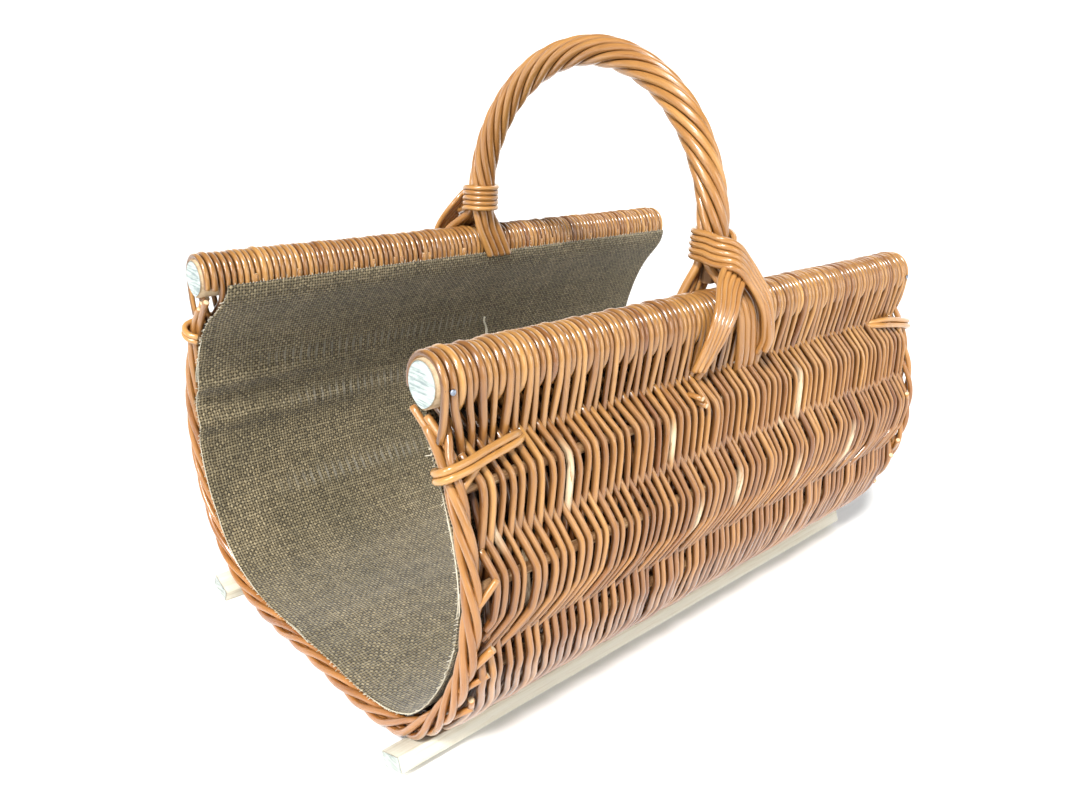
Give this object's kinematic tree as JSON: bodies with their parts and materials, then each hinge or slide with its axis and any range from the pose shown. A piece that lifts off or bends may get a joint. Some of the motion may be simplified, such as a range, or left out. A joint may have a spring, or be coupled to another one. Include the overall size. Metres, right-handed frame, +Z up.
{
  "type": "woven wicker log basket",
  "caption": "Open-ended wicker log basket: a rod-woven trough with wooden rails and runners, a twisted rod handle and a jute lining.",
  "frame": {"origin": "middle of the basket's length and width, at the floor the runners rest on", "axes": "+X along the basket from the left open end to the right one, +Y from the front wall to the back wall, +Z up; the handle's arch lies in the plane x = 0"},
  "size_m": [0.5888, 0.4014, 0.4773],
  "materials": {
    "willow": "buff willow rods, brown with a soft sheen",
    "handle_willow": "thicker willow rods, lighter brown with a soft sheen",
    "pale_wood": "sawn softwood, bare",
    "jute": "coarse open plain weave, matt",
    "steel": "plain wire nail"
  },
  "bodies": {
    "root": {"binding_back_over": "handle_willow", "binding_back_under": "handle_willow", "binding_front_over": "handle_willow", "binding_front_under": "handle_willow", "end_border_left_inner": "willow", "end_border_left_outer": "willow", "end_border_right_inner": "willow", "end_border_right_outer": "willow", "handle_core": "pale_wood", "handle_rod_1": "handle_willow", "handle_rod_2": "handle_willow", "handle_rod_3": "handle_willow", "handle_rod_4": "handle_willow", "handle_rod_5": "handle_willow", "handle_rod_6": "handle_willow", "handle_rod_7": "handle_willow", "handle_rod_8": "handle_willow", "jute_lining": "jute", "lacing_back_left": "willow", "lacing_back_right": "willow", "lacing_front_left": "willow", "lacing_front_right": "willow", "rail_back": "pale_wood", "rail_front": "pale_wood", "rail_nail_back_left": "steel", "rail_nail_back_right": "steel", "rail_nail_front_left": "steel", "rail_nail_front_right": "steel", "runner_back": "pale_wood", "runner_front": "pale_wood", "runner_nail_back_left": "steel", "runner_nail_back_right": "steel", "runner_nail_front_left": "steel", "runner_nail_front_right": "steel", "stick_01": "willow", "stick_02": "willow", "stick_03": "willow", "stick_04": "willow", "stick_05": "willow", "stick_06": "willow", "stick_07": "willow", "stick_08": "willow", "stick_09": "willow", "stick_10": "willow", "stick_11": "willow", "weave_band_01": "willow", "weave_band_02": "willow", "weave_band_03": "willow", "weave_band_04": "willow", "weave_band_05": "willow", "weave_band_06": "willow", "weave_band_07": "willow", "weave_band_08": "willow", "weave_band_09": "willow", "weave_band_10": "willow", "weave_band_11": "willow"}
  },
  "joints": []
}
